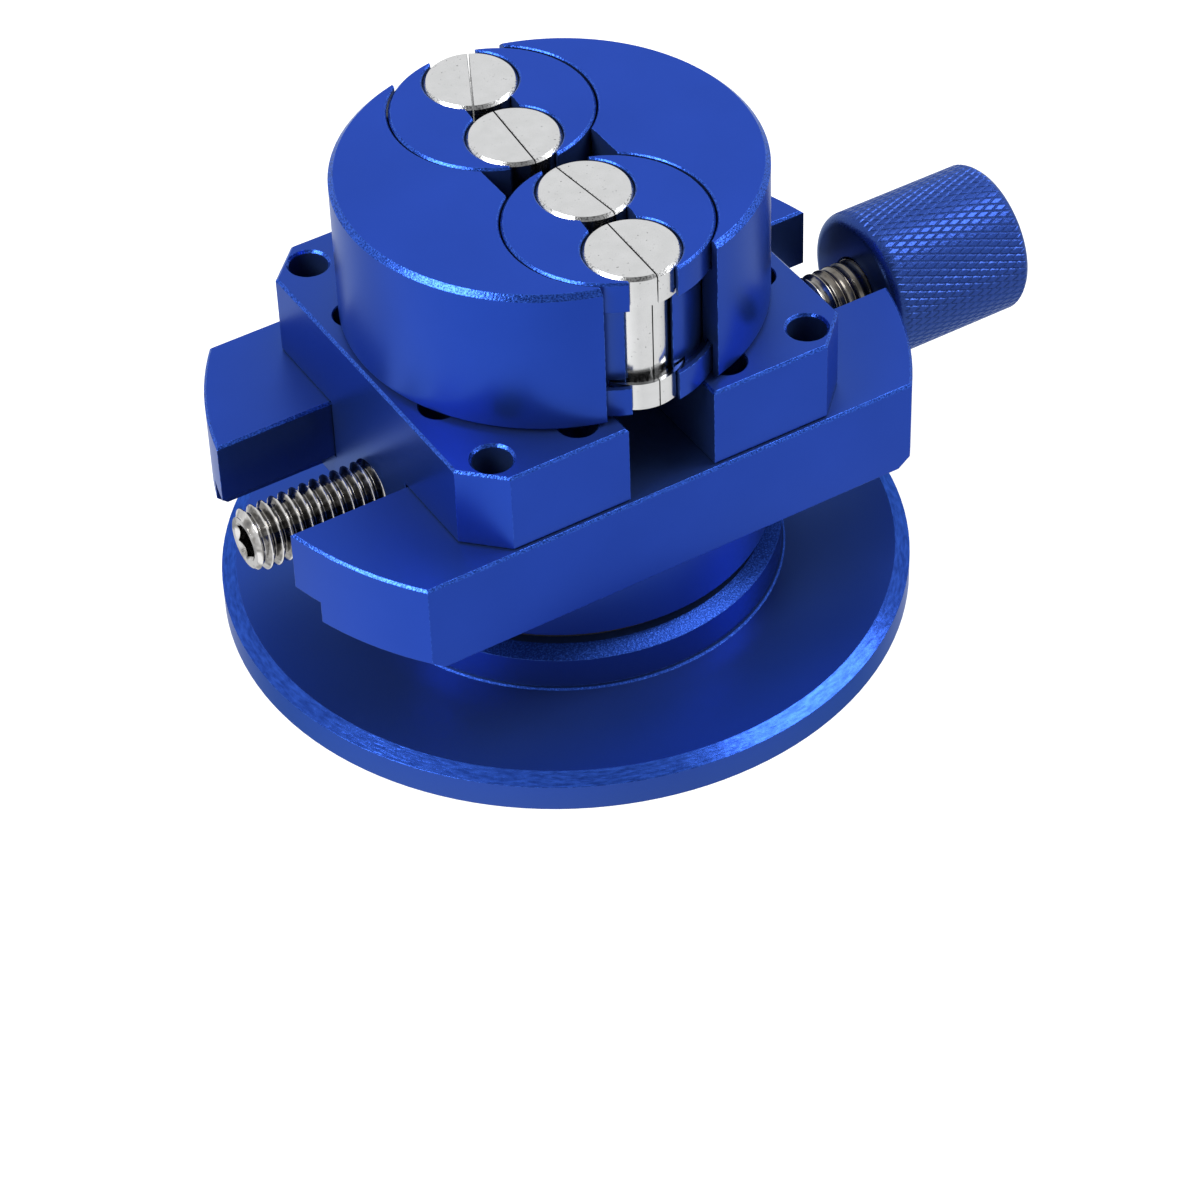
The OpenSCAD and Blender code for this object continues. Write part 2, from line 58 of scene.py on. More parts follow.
# Places taken from the frame, in millimetres

screw_lo, screw_hi = (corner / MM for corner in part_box("lead_screw"))
knob_lo, knob_hi = (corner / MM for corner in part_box("knob"))
AXIS_Z = (screw_lo.z + screw_hi.z) / 2
SCREW_R = (screw_hi.z - screw_lo.z) / 2
KNOB_R = (knob_hi.z - knob_lo.z) / 2


def on_axis(x, r, a):
    """Point at distance r from the screw axis, at angle a from straight up towards the front."""
    return Vector((x, -r * math.sin(a), AXIS_Z + r * math.cos(a)))


def angle_of(vert):
    """Angle of a vertex round the screw axis, from 0 to a whole turn."""
    return math.atan2(-vert.co.y, vert.co.z - AXIS_Z) % TURN


def ring(bm, x, r, count=RING_COLUMNS):
    """Round row of vertices at x, with a fixed radius or one for each angle."""
    angles = [TURN * k / count for k in range(count)]
    radii = r if isinstance(r, list) else [r] * count
    places = x if isinstance(x, list) else [x] * count
    return [bm.verts.new(on_axis(p, q, a)) for p, q, a in zip(places, radii, angles)]


def bridge(bm, first, second):
    """Joins two rings of vertices with triangles, each ring in order of angle."""
    first, second = sorted(first, key=angle_of), sorted(second, key=angle_of)
    n, m = len(first), len(second)
    i = j = 0
    while i < n or j < m:
        a, b = first[i % n], second[j % m]
        next_a = angle_of(first[i + 1]) if i + 1 < n else TURN + angle_of(first[0])
        next_b = angle_of(second[j + 1]) if j + 1 < m else TURN + angle_of(second[0])
        if j >= m or (i < n and next_a <= next_b):
            bm.faces.new((a, first[(i + 1) % n], b))
            i += 1
        else:
            bm.faces.new((a, second[(j + 1) % m], b))
            j += 1


def cap(bm, loop, x):
    """Closes a ring of vertices with a fan round a point on the axis."""
    loop = sorted(loop, key=angle_of)
    centre = bm.verts.new(on_axis(x, 0, 0))
    for k, vert in enumerate(loop):
        bm.faces.new((vert, loop[(k + 1) % len(loop)], centre))


def open_loop(bm, x, reach=1e-4):
    """Vertices of the open edge that lies at the plane x."""
    return [v for v in bm.verts if v.is_boundary and abs(v.co.x - x) < reach]


def cut_across(bm, x, keep):
    """Cuts at the plane x, keeps the side towards keep, and returns the vertices on the cut."""
    geometry = bm.verts[:] + bm.edges[:] + bm.faces[:]
    bmesh.ops.bisect_plane(
        bm, geom=geometry, dist=CUT_REACH, plane_co=(x, 0, 0), plane_no=(keep, 0, 0),
        clear_inner=True,
    )
    return open_loop(bm, x)


def finish_mesh(bm, name, sharp=32):
    """Turns a mesh in millimetres into an object, smooth up to so many degrees."""
    bmesh.ops.recalc_face_normals(bm, faces=bm.faces)
    for face in bm.faces:
        face.smooth = True
    for edge in bm.edges:
        edge.smooth = edge.is_manifold and edge.calc_face_angle() < math.radians(sharp)
    bmesh.ops.scale(bm, vec=(MM, MM, MM), verts=bm.verts)
    mesh = bpy.data.meshes.new(name)
    bm.to_mesh(mesh)
    bm.free()
    piece = bpy.data.objects.new(name, mesh)
    bpy.context.scene.collection.objects.link(piece)
    return piece


# Threaded screw, in millimetres
PITCH = 1.75
THREAD_COLUMNS = 64
ROOT_R = 3.93
# Thread form: place along one pitch, from crest to crest, and radius
THREAD_FORM = [
    (-0.5, ROOT_R), (-0.44, 3.96), (-0.38, 4.06), (-0.07, 4.93), (-0.035, 5.0),
    (0.035, 5.0), (0.07, 4.93), (0.38, 4.06), (0.44, 3.96),
]
JOURNAL_HALF = 3.4
JOURNAL_R = 3.5
NEAR_FACE_R = 4.1
SOCKET_AF = 5.0
SOCKET_MOUTH_R = 3.05
SOCKET_DEPTH = 6.0
SOCKET_TIP = 1.0
# Where the near thread has a crest on top, and how many pitches on the far one has one
CREST_X = -51.95
CREST_APART = 62
# Towards the knob the thread is worn shallow: the places where that begins and ends, and its root
WORN_FROM = 44.0
WORN_TO = 49.0
WORN_ROOT = 4.78
# Least radius beyond the cuts, where the slopes of the ends would cross the axis
CORE_R = 0.5


def thread(bm, x_low, x_high, hand, crest_x, limit):
    """Helical surface between two planes, with the radius held under limit(x)."""
    rows = len(THREAD_FORM)
    first = math.floor((x_low - crest_x) / PITCH) - SPARE_TURNS
    last = math.ceil((x_high - crest_x) / PITCH) + SPARE_TURNS
    grid = {}
    for turn in range(first, last + 1):
        for i, (share, radius) in enumerate(THREAD_FORM):
            for c in range(THREAD_COLUMNS):
                a = TURN * c / THREAD_COLUMNS
                x = crest_x + PITCH * (turn + share + hand * c / THREAD_COLUMNS)
                wear = min(max((x - WORN_FROM) / (WORN_TO - WORN_FROM), 0), 1)
                radius = max(radius, ROOT_R + (WORN_ROOT - ROOT_R) * wear)
                r = min(radius, max(limit(x), CORE_R))
                grid[turn * rows + i, c] = bm.verts.new(on_axis(x, r, a))

    def at(row, c):
        if c == THREAD_COLUMNS:
            return grid.get((row + hand * rows, 0))
        return grid.get((row, c))

    for row in range(first * rows, (last + 1) * rows):
        for c in range(THREAD_COLUMNS):
            corners = [at(row, c), at(row, c + 1), at(row + 1, c + 1), at(row + 1, c)]
            if None not in corners:
                bm.faces.new(corners)
    low = cut_across(bm, x_low, 1)
    high = cut_across(bm, x_high, -1)
    return [v for v in low if v.is_valid], high


def lead_screw():
    """Screw with threads of both hands, a journal between them and a socket in the near end."""
    near, far = screw_lo.x, screw_hi.x
    left = bmesh.new()
    face_loop, _ = thread(
        left, near, -JOURNAL_HALF, -1, CREST_X,
        lambda x: min(NEAR_FACE_R + x - near, JOURNAL_R - JOURNAL_HALF - x),
    )
    # Flat face, countersink, and hexagon socket with a drilled bottom
    side = TURN / 6
    hexagon = [
        SOCKET_AF / 2 / math.cos((TURN * k / RING_COLUMNS) % side - side / 2)
        for k in range(RING_COLUMNS)
    ]
    mouth = ring(left, near, SOCKET_MOUTH_R)
    scallops = ring(left, [near + SOCKET_MOUTH_R - h for h in hexagon], hexagon)
    floor_ring = ring(left, near + SOCKET_DEPTH, hexagon)
    bridge(left, face_loop, mouth)
    bridge(left, mouth, scallops)
    bridge(left, scallops, floor_ring)
    cap(left, floor_ring, near + SOCKET_DEPTH + SOCKET_TIP)
    right = bmesh.new()
    _, far_loop = thread(
        right, JOURNAL_HALF, far, 1, CREST_X + CREST_APART * PITCH,
        lambda x: min(JOURNAL_R + x - JOURNAL_HALF, SCREW_R),
    )
    cap(right, far_loop, far)
    left_mesh = bpy.data.meshes.new("left_part")
    left.to_mesh(left_mesh)
    left.free()
    right.from_mesh(left_mesh)
    bpy.data.meshes.remove(left_mesh)
    loops = (open_loop(right, x, reach=1e-3) for x in (-JOURNAL_HALF, JOURNAL_HALF))
    bridge(right, *loops)
    return finish_mesh(right, "lead_screw_threaded")


# Knurled knob, in millimetres
KNURL_STARTS = 62
KNURL_AXIAL = 3.38
KNURL_DEPTH = 0.18
# Places of the rows across one diamond, as shares, and their depth
KNURL_FORM = [(0.0, 1.0), (0.17, 0.0), (0.5, 0.0), (0.83, 0.0)]
# How far each hand of the knurl is turned on, in diamonds
KNURL_SHIFT_A = -0.053
KNURL_SHIFT_B = -0.125
KNOB_ROUND = 2.0
KNOB_SLOPE = 0.7
KNOB_BORE_R = 5.02
KNOB_BORE_DEPTH = 18.0
KNOB_BORE_SLOPE = 0.4
# Where the knurl runs out on the round near edge, and the steps of that edge
KNURL_FROM = 1.05
ROUND_STEPS = 7
KNOB_COLUMNS = 192
# The knurl ends where the far slope lies this much below its grooves
SLOPE_BELOW = 0.02
# Edges of the knurl are sharp from this angle, in degrees
KNURL_SHARP = 24
# Radius of the set screw's hole, and how far its drill reaches past the knob
SET_HOLE_R = 2.52
DRILL_PAST = 1


def knob_limit(x):
    """Radius of the knob's plain turned outline at x."""
    from_near = x - knob_lo.x
    to_far = knob_hi.x - x
    limit = KNOB_R
    if from_near < KNOB_ROUND:
        rise = KNOB_ROUND - max(from_near, 0)
        limit = KNOB_R - KNOB_ROUND + math.sqrt(KNOB_ROUND**2 - rise**2)
    if to_far < KNOB_SLOPE:
        limit = min(limit, KNOB_R - KNOB_SLOPE + to_far)
    return limit


def knob():
    """Knob with a diamond knurl from two crossing hands of grooves, a bore and a set screw hole."""
    bm = bmesh.new()
    circumference = TURN * KNOB_R
    steps = len(KNURL_FORM)
    count = KNURL_STARTS * steps
    x_low = knob_lo.x + KNURL_FROM
    x_high = knob_hi.x - KNOB_SLOPE + KNURL_DEPTH + SLOPE_BELOW
    grid = {}

    def vert(i, j):
        """Vertex where row i of the one hand crosses row j of the other."""
        wraps = i // count
        i, j = i - wraps * count, j - wraps * count
        if (i, j) not in grid:
            share_a, depth_a = KNURL_FORM[i % steps]
            share_b, depth_b = KNURL_FORM[j % steps]
            a = i // steps + share_a + KNURL_SHIFT_A
            b = j // steps + share_b + KNURL_SHIFT_B
            x = KNURL_AXIAL * (b - a) / 2
            t = circumference / KNURL_STARTS * (a + b) / 2
            r = min(KNOB_R - KNURL_DEPTH * max(depth_a, depth_b), knob_limit(x))
            grid[i, j] = bm.verts.new(on_axis(x, r, t / KNOB_R))
        return grid[i, j]

    low_j = math.floor(2 * x_low / KNURL_AXIAL * steps) - SPARE_TURNS * steps
    high_j = math.ceil(2 * x_high / KNURL_AXIAL * steps) + SPARE_TURNS * steps
    for i in range(count):
        for j in range(i + low_j, i + high_j):
            bm.faces.new((vert(i, j), vert(i + 1, j), vert(i + 1, j + 1), vert(i, j + 1)))
    low = cut_across(bm, x_low, 1)
    high = cut_across(bm, x_high, -1)
    loop = [v for v in low if v.is_valid]
    for k in range(1, ROUND_STEPS + 1):
        lean = math.acos(1 - (x_low - knob_lo.x) / KNOB_ROUND) * (1 - k / ROUND_STEPS)
        x = knob_lo.x + KNOB_ROUND * (1 - math.cos(lean))
        r = KNOB_R - KNOB_ROUND * (1 - math.sin(lean))
        following = ring(bm, x, r, KNOB_COLUMNS)
        bridge(bm, loop, following)
        loop = following
    mouth = ring(bm, knob_lo.x, KNOB_BORE_R + KNOB_BORE_SLOPE)
    bore_top = ring(bm, knob_lo.x + KNOB_BORE_SLOPE, KNOB_BORE_R)
    bore_end = ring(bm, knob_lo.x + KNOB_BORE_DEPTH, KNOB_BORE_R)
    bridge(bm, loop, mouth)
    bridge(bm, mouth, bore_top)
    bridge(bm, bore_top, bore_end)
    cap(bm, bore_end, knob_lo.x + KNOB_BORE_DEPTH)
    far_edge = ring(bm, knob_hi.x, KNOB_R - KNOB_SLOPE, KNOB_COLUMNS)
    bridge(bm, high, far_edge)
    cap(bm, far_edge, knob_hi.x)
    piece = finish_mesh(bm, "knob_knurled", KNURL_SHARP)

    # Radial hole of the set screw, cut from below
    drill = bmesh.new()
    height = KNOB_R + DRILL_PAST
    bmesh.ops.create_cone(
        drill, cap_ends=True, segments=64, radius1=SET_HOLE_R, radius2=SET_HOLE_R, depth=height,
        matrix=Matrix.Translation((knob_lo.x + KNOB_BORE_DEPTH / 2, 0, AXIS_Z - height / 2)),
    )
    tool = finish_mesh(drill, "knob_drill")
    cut = piece.modifiers.new("set_hole", "BOOLEAN")
    cut.operation = "DIFFERENCE"
    cut.object = tool
    cut.solver = "EXACT"
    evaluated = piece.evaluated_get(bpy.context.evaluated_depsgraph_get())
    mesh = bpy.data.meshes.new_from_object(evaluated)
    piece.modifiers.clear()
    piece.data = mesh
    bpy.data.objects.remove(tool)
    return piece


# In these finishes a split is the part of a noise, or of a mask, that turns from none to all.
# Share of metal and gloss of the blue finish
BLUE_METALLIC = 0.78
BLUE_GLOSS = 0.12
# Noise scales of the blue: clouds, tool marks, grains, blasted grains, edge dashes and rings
DYE_CLOUDS = 60
TOOL_MARKS = 2600
GRAINS = 4300
BLASTED_GRAINS = 4400
DASHES = 1500
RINGS = 2300
# Metres of the ring pattern for each radian round the axis
RING_LENGTH = 0.012
# Colour of the dyed metal, from the deeper to the lighter clouds
BODY_DYE = ((0.0100, 0.0378, 0.268), (0.0112, 0.0412, 0.292))
KNOB_DYE = ((0.0150, 0.0385, 0.190), (0.0165, 0.0425, 0.206))
# Dark and bright grains of the tooled slopes
FLECK_DYE = ((0.0065, 0.0240, 0.160), (0.0260, 0.0850, 0.450))
GRAIN_SPLIT = (0.36, 0.62)
BLASTED_SPLIT = (0.45, 0.7)
# How bright the blasted grains and the rings are, from least to most
BLASTED_BRIGHT = (0.12, 1)
RING_BRIGHT = (0.12, 0.62)
# Painted shade: the greyer blue of places that other faces shut in, and how much of it shows there
RECESS_SHADE_TINT = (0.0310, 0.0620, 0.185)
RECESS_SHADE_SHARE = 0.9
RECESS_SHADE_REACH = 30 * MM
RECESS_SHADE_SPLIT = (0.25, 0.88)
# Painted highlight along the broken edges, in bright dashes between dark ones, and how broad those
# edges are
EDGE_SHEEN_DASHES = ((0.0030, 0.0100, 0.060), (0.0450, 0.1300, 0.560))
EDGE_BREAK = 0.14 * MM
EDGE_SPLIT = (0.85, 0.99)
DASH_SPLIT = (0.42, 0.58)
# Painted shade above the fillet at the foot of the hub, from this height to below the slope of the
# hub
FOOT_LINE = (5.9 * MM, 6.0 * MM)
FOOT_TOP = (7 * MM, 8 * MM)
FOOT_SHADE = (0.0030, 0.0090, 0.050)
# Distance from the swivel axis where the coarse slopes of the hub end
HUB_REACH = (38 * MM, 40 * MM)
# Tint of the blue at a grazing look; on the base it is deeper
GRAZE = (0.7, 0.82, 1, 1)
TURNED_GRAZE = (0.42, 0.54, 0.86, 1)
# Roughness of the blue by the kind of face; level faces of the base are smoother
SIDE_ROUGH = 0.29
SLOPE_ROUGH = (0.14, 0.27)
KNURL_ROUGH = (0.22, 0.34)
BLASTED_ROUGH = 0.46
LEVEL_ROUGH = 0.42
TURNED_LEVEL_ROUGH = 0.35
# How far the normals of a slope and of a level face stand up, from none to all of the mask
SLOPE_LEAN = (0.15, 0.35)
LEVEL_LEAN = (0.93, 0.98)
# Depth of the satin on the blue and the pads, and of the marks on the tooled slopes
SATIN_RELIEF = 0.002 * MM
TOOLED_RELIEF = 0.045 * MM
# Pads: colours, noise scales, dark specks and pits, and darkening in the inner corners, in streaks
# that run up and down the waist
PAD_STEEL = ((0.475, 0.48, 0.483), (0.51, 0.514, 0.52))
PAD_CORNER_DARK = (0.12, 0.12, 0.122)
PAD_ROUGH = (0.13, 0.22)
PAD_CLOUDS = 420
PAD_GRAIN = 3600
PAD_SPECKS = 2600
SPECK_SPLIT = (0.7, 0.76)
PIT_SPLIT = (0.5, 0.62)
PIT_SHARE = 0.8
STREAK_SCALES = (2400, 2400, 700)
STREAK_SPLIT = (0.42, 0.58)
CORNER_REACH = 1.6 * MM
CORNER_SPLIT = (0.4, 0.95)
PAD_RELIEF = 0.02 * MM
# Screw: bare steel, the worn part of the thread, and painted shade on the flanks of the grooves
BARE_STEEL = (0.5, 0.495, 0.49)
WORN_STEEL = (0.125, 0.113, 0.095)
GROOVE_SHADE_STEEL = ((0.045, 0.045, 0.047), (0.21, 0.2, 0.185))
WORN_ROUGH = 0.24
# Distances from the screw axis between which the crests turn bare
CREST_R = (4.72 * MM, 4.97 * MM)
# Lengths from the near end over which the bare end turns to the painted shade of the grooves
NEAR_END = (1.0, 2.6)
NEAR_PATCHES = 420
NEAR_SPLIT = (0.42, 0.56)
NEAR_LEAST = 0.12
# Painted shade of the grooves: its noise scales, the roughness from the mottling, and how far the
# mottling lets the flanks look bare
GROOVE_SHADE_CLOUDS = 700
MOTTLE = 1100
MOTTLE_ROUGH = (0.08, 0.2)
MOTTLE_BARE = (-0.2, 0.3)
# Fine lines round the screw where it is worn
LINE_SCALES = (4200, 420, 420)
LINE_LEAST = 0.1
SCREW_GRAIN = 1600
SCREW_RELIEF = 0.012 * MM
# Blackened steel and bearing plastic: colours, roughness, and scale and detail of each noise
DARK_STEEL = ((0.035, 0.035, 0.038), (0.085, 0.085, 0.09))
DARK_ROUGH = (0.32, 0.5)
DARK_CLOUDS = (700, 4)
DARK_GRAIN = (2600, 3)
DARK_RELIEF = 0.01 * MM
PLASTIC = ((0.008, 0.008, 0.009), (0.016, 0.016, 0.018))
PLASTIC_ROUGH = (0.45, 0.6)
PLASTIC_CLOUDS = (900, 3)
PLASTIC_GRAIN = (4000, 2)
PLASTIC_RELIEF = 0.015 * MM


def add(tree, kind, inputs=None, **settings):
    """New node with some settings; an input is a value or the socket that feeds it."""
    made = tree.nodes.new(kind)
    for key, value in settings.items():
        setattr(made, key, value)
    for key, value in (inputs or {}).items():
        if isinstance(value, bpy.types.NodeSocket):
            tree.links.new(value, made.inputs[key])
        else:
            made.inputs[key].default_value = value
    return made


def new_material(name):
    """Empty material with a shader, and the place on the piece that its patterns hang on."""
    material = bpy.data.materials.new(name)
    material.use_nodes = True
    tree = material.node_tree
    tree.nodes.clear()
    shader = add(tree, "ShaderNodeBsdfPrincipled")
    output = add(tree, "ShaderNodeOutputMaterial")
    tree.links.new(shader.outputs[0], output.inputs[0])
    place = add(tree, "ShaderNodeTexCoord").outputs["Object"]
    return material, tree, shader, place


def finish_material(tree, shader, colour, rough, normal):
    for name, socket in (("Base Color", colour), ("Roughness", rough), ("Normal", normal)):
        tree.links.new(socket, shader.inputs[name])


def noise(tree, place, scale, detail):
    return add(
        tree, "ShaderNodeTexNoise", {"Vector": place, "Scale": scale, "Detail": detail}
    ).outputs[0]


def spread(tree, value, low, high, from_low=0.3, from_high=0.7):
    """Maps the middle of a noise, or another range, to a range."""
    return add(
        tree, "ShaderNodeMapRange", {0: value, 1: from_low, 2: from_high, 3: low, 4: high}
    ).outputs[0]


def combine(tree, operation, first, second, clamp=False):
    return add(
        tree, "ShaderNodeMath", {0: first, 1: second}, operation=operation, use_clamp=clamp
    ).outputs[0]


def multiply(tree, first, second):
    return combine(tree, "MULTIPLY", first, second)


def mix(tree, share, first, second):
    """Number between two, by a share from 0 to 1."""
    return add(tree, "ShaderNodeMix", {0: share, 2: first, 3: second}).outputs[0]


def blend(tree, share, first, second):
    """Colour between two, each a socket or three numbers."""
    first, second = (
        colour if isinstance(colour, bpy.types.NodeSocket) else (*colour, 1)
        for colour in (first, second)
    )
    return add(
        tree, "ShaderNodeMix", {0: share, 6: first, 7: second}, data_type="RGBA"
    ).outputs[2]


def bump(tree, height, distance, strength=1.0, below=None):
    """Normal with a relief of so many metres, on top of another normal if there is one."""
    inputs = {"Height": height, "Strength": strength, "Distance": distance}
    if below is not None:
        inputs["Normal"] = below
    return add(tree, "ShaderNodeBump", inputs).outputs[0]


def part_of(tree, vector, axis):
    return add(tree, "ShaderNodeSeparateXYZ", {0: vector}).outputs[axis]


def slopes(tree):
    """Masks of the level faces and of the slopes, by the piece's own normals."""
    normal = add(tree, "ShaderNodeTexCoord").outputs["Normal"]
    lean = add(
        tree, "ShaderNodeMath", {0: part_of(tree, normal, 2)}, operation="ABSOLUTE"
    ).outputs[0]
    level = spread(tree, lean, 0, 1, *LEVEL_LEAN)
    not_level = spread(tree, lean, 1, 0, *LEVEL_LEAN)
    return level, multiply(tree, spread(tree, lean, 0, 1, *SLOPE_LEAN), not_level)


def scaled(tree, vector, factors):
    return add(
        tree, "ShaderNodeVectorMath", {0: vector, 1: factors}, operation="MULTIPLY"
    ).outputs[0]


def radius_of(tree, place, across):
    """Distance from the axis that the vector across leaves out."""
    flat = scaled(tree, place, across)
    return add(tree, "ShaderNodeVectorMath", {0: flat}, operation="LENGTH").outputs["Value"]


def turning_marks(tree, place, radius):
    """Fine rings round the swivel axis, broken up along their length."""
    parts = [part_of(tree, place, axis) for axis in range(3)]
    angle = combine(tree, "ARCTAN2", parts[1], parts[0])
    along = multiply(tree, angle, RING_LENGTH)
    ringed = add(tree, "ShaderNodeCombineXYZ", {0: radius, 1: along, 2: parts[2]}).outputs[0]
    return noise(tree, ringed, RINGS, 2)


def openness(tree, distance, samples, **settings):
    """How little other faces shut a place in, within a distance: 1 where nothing is near."""
    return add(
        tree, "ShaderNodeAmbientOcclusion", {"Distance": distance}, samples=samples, **settings
    ).outputs["AO"]


def blue_anodised(name, dye=BODY_DYE, turned=False, tooled_slopes=True):
    """Blue anodised aluminium: even satin faces, slopes with tool marks, and edges with a painted
    highlight in dashes.
    """
    material, tree, shader, place = new_material(name)
    shader.inputs["Metallic"].default_value = BLUE_METALLIC
    shader.inputs["Specular IOR Level"].default_value = BLUE_GLOSS
    shader.inputs["Specular Tint"].default_value = TURNED_GRAZE if turned else GRAZE
    level, cut = slopes(tree)
    grain = marks = noise(tree, place, TOOL_MARKS, 2)
    flecks = spread(tree, noise(tree, place, GRAINS, 1), 0, 1, *GRAIN_SPLIT)
    slope_rough = spread(tree, grain, *(SLOPE_ROUGH if tooled_slopes else KNURL_ROUGH))
    rough = mix(
        tree, level, mix(tree, cut, SIDE_ROUGH, slope_rough),
        TURNED_LEVEL_ROUGH if turned else LEVEL_ROUGH,
    )
    if turned:
        # The slopes of the hub are blasted coarser than the rim of the base
        radius = radius_of(tree, place, (1, 1, 0))
        rings = turning_marks(tree, place, radius)
        blasted = multiply(tree, cut, spread(tree, radius, 1, 0, *HUB_REACH))
        rough = mix(tree, blasted, rough, BLASTED_ROUGH)
        coarse = noise(tree, place, BLASTED_GRAINS, 1)
        sparse = spread(tree, coarse, *BLASTED_BRIGHT, *BLASTED_SPLIT)
        flecks = mix(tree, blasted, spread(tree, rings, *RING_BRIGHT), sparse)
        marks = mix(tree, blasted, rings, grain)

    # Painted shade: where light comes only by way of other blue faces the blue is painted greyer
    recess_shade = spread(tree, openness(tree, RECESS_SHADE_REACH, 4), 1, 0, *RECESS_SHADE_SPLIT)
    even = blend(tree, spread(tree, noise(tree, place, DYE_CLOUDS, 3), 0, 1), *dye)
    skin = blend(tree, multiply(tree, recess_shade, RECESS_SHADE_SHARE), even, RECESS_SHADE_TINT)
    edge = add(tree, "ShaderNodeBevel", {"Radius": EDGE_BREAK}, samples=6).outputs[0]
    if tooled_slopes:
        skin = blend(tree, cut, skin, blend(tree, flecks, *FLECK_DYE))
        facing = add(
            tree, "ShaderNodeVectorMath",
            {0: edge, 1: add(tree, "ShaderNodeNewGeometry").outputs["Normal"]},
            operation="DOT_PRODUCT",
        ).outputs["Value"]
        # Painted highlight: bright dashes broken by dark ones along the edges
        broken = spread(tree, facing, 1, 0, *EDGE_SPLIT)
        sheen_dashes = spread(tree, noise(tree, place, DASHES, 2), 0, 1, *DASH_SPLIT)
        skin = blend(tree, broken, skin, blend(tree, sheen_dashes, *EDGE_SHEEN_DASHES))
    if turned:
        # The fillet at the foot of the hub shows as a thin line, with painted shade above it
        height = part_of(tree, place, 2)
        foot_shade = multiply(
            tree, spread(tree, height, 0, 1, *FOOT_LINE), spread(tree, height, 1, 0, *FOOT_TOP)
        )
        skin = blend(tree, multiply(tree, blasted, foot_shade), skin, FOOT_SHADE)

    satin = bump(tree, grain, SATIN_RELIEF, below=edge)
    finish_material(tree, shader, skin, rough, bump(tree, marks, TOOLED_RELIEF, cut, satin))
    return material


def pad_steel():
    """Light steel of the pads: even satin tops, sides with small pits, darker in inner corners."""
    material, tree, shader, place = new_material("pad_steel")
    shader.inputs["Metallic"].default_value = 1
    clouds = noise(tree, place, PAD_CLOUDS, 4)
    grain = noise(tree, place, PAD_GRAIN, 2)
    _, cut = slopes(tree)
    specks = spread(tree, noise(tree, place, PAD_SPECKS, 2), 0, 1, *SPECK_SPLIT)
    pits = multiply(tree, cut, spread(tree, grain, 0, PIT_SHARE, *PIT_SPLIT))
    # Darker where other faces are near, in the inner corners, in streaks
    corners = openness(tree, CORNER_REACH, 8, only_local=True)
    drawn = noise(tree, scaled(tree, place, STREAK_SCALES), 1, 4)
    corner_dark = multiply(
        tree, spread(tree, corners, 1, 0, *CORNER_SPLIT), spread(tree, drawn, 0, 1, *STREAK_SPLIT)
    )
    dark = combine(tree, "MAXIMUM", combine(tree, "MAXIMUM", specks, pits), corner_dark)
    light = blend(tree, spread(tree, clouds, 0, 1), *PAD_STEEL)
    satin = bump(tree, grain, SATIN_RELIEF)
    finish_material(
        tree, shader, blend(tree, dark, light, PAD_CORNER_DARK), spread(tree, clouds, *PAD_ROUGH),
        bump(tree, grain, PAD_RELIEF, cut, satin),
    )
    return material


def bright_steel():
    """Bright turned steel. On the screw the flanks of the grooves are painted dark as shade,
    mottled by noise, and the crests bare.
    """
    material, tree, shader, place = new_material("bright_steel")
    shader.inputs["Metallic"].default_value = 1
    offset = add(
        tree, "ShaderNodeVectorMath", {0: place, 1: (0, 0, AXIS_Z * MM)}, operation="SUBTRACT"
    ).outputs[0]
    along = part_of(tree, place, 0)
    crest = spread(tree, radius_of(tree, offset, (0, 1, 1)), 0, 1, *CREST_R)
    mottle = noise(tree, place, MOTTLE, 5)
    near_end = multiply(
        tree, spread(tree, along, 1, 0, *((screw_lo.x + reach) * MM for reach in NEAR_END)),
        spread(tree, noise(tree, place, NEAR_PATCHES, 2), NEAR_LEAST, 1, *NEAR_SPLIT),
    )
    lines = noise(tree, scaled(tree, offset, LINE_SCALES), 1, 3)
    shallow = spread(tree, along, 0, 1, WORN_FROM * MM, WORN_TO * MM)
    worn = multiply(tree, shallow, spread(tree, lines, LINE_LEAST, 1))
    # Painted shade: the flanks of the grooves get a dark steel, while the crests and the mottled
    # parts stay bare
    rubbed = combine(tree, "ADD", crest, spread(tree, mottle, *MOTTLE_BARE), clamp=True)
    bare = combine(tree, "MAXIMUM", combine(tree, "MAXIMUM", rubbed, near_end), worn)
    steel = blend(tree, shallow, BARE_STEEL, WORN_STEEL)
    groove_shade = blend(tree, spread(tree, noise(tree, place, GROOVE_SHADE_CLOUDS, 4), 0, 1), *GROOVE_SHADE_STEEL)
    finish_material(
        tree, shader, blend(tree, bare, groove_shade, steel),
        mix(tree, shallow, spread(tree, mottle, *MOTTLE_ROUGH), WORN_ROUGH),
        bump(tree, noise(tree, place, SCREW_GRAIN, 3), SCREW_RELIEF),
    )
    return material


def clouded(name, metallic, colours, rough, clouds, grain, relief):
    """Plain finish with soft clouds and a fine grain, each a noise with a scale and a detail."""
    material, tree, shader, place = new_material(name)
    shader.inputs["Metallic"].default_value = metallic
    cloud = noise(tree, place, *clouds)
    finish_material(
        tree, shader, blend(tree, spread(tree, cloud, 0, 1), *colours),
        spread(tree, cloud, *rough), bump(tree, noise(tree, place, *grain), relief),
    )
    return material


def dark_steel():
    """Blackened screws and springs."""
    return clouded(
        "dark_steel", 1, DARK_STEEL, DARK_ROUGH, DARK_CLOUDS, DARK_GRAIN, DARK_RELIEF
    )


def black_plastic():
    """Matt moulded bearing plastic."""
    return clouded(
        "black_plastic", 0, PLASTIC, PLASTIC_ROUGH, PLASTIC_CLOUDS, PLASTIC_GRAIN, PLASTIC_RELIEF
    )


